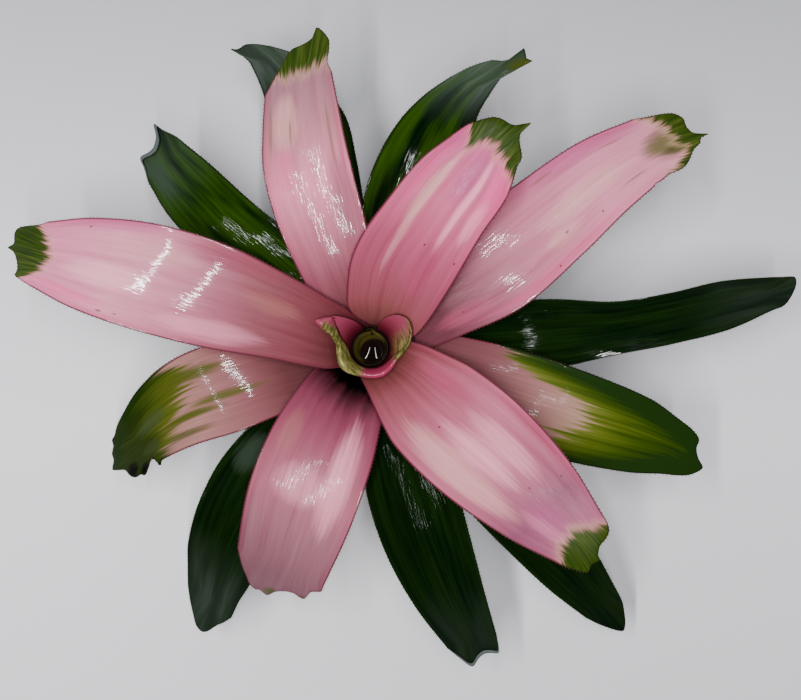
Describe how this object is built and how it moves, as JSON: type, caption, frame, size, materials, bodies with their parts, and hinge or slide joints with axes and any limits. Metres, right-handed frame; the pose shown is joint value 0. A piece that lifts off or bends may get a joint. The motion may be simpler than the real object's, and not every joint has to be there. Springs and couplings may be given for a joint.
{
  "type": "neoregelia bromeliad",
  "caption": "Neoregelia bromeliad rosette cut at its stem: broad pink centre leaves with green tips, dark green outer leaves, fine margin spines and a rolled heart holding water.",
  "frame": {"origin": "centre of the stem's flat cut base, on the plant's axis", "axes": "+Z up along the stem; +X towards the longest green leaf, to the right when the plant is seen from above with +Y up"},
  "size_m": [0.4329, 0.3532, 0.1431],
  "materials": {
    "pink_leaf": "gloss",
    "streaked_leaf": "gloss",
    "green_leaf": "gloss",
    "heart_leaf": "gloss",
    "tube_leaf": "gloss",
    "water": "polished",
    "stem": "matte"
  },
  "bodies": {
    "root": {"stem": "stem", "pink_leaf_1": "pink_leaf", "pink_leaf_2": "pink_leaf", "pink_leaf_3": "pink_leaf", "pink_leaf_4": "pink_leaf", "pink_leaf_5": "pink_leaf", "pink_leaf_6": "pink_leaf", "streaked_leaf_1": "streaked_leaf", "streaked_leaf_2": "streaked_leaf", "green_leaf_1": "green_leaf", "green_leaf_2": "green_leaf", "green_leaf_3": "green_leaf", "green_leaf_4": "green_leaf", "green_leaf_5": "green_leaf", "green_leaf_6": "green_leaf", "green_leaf_7": "green_leaf", "heart_funnel_leaf": "heart_leaf", "heart_tube_leaf": "tube_leaf", "tank_water": "water"}
  },
  "joints": []
}
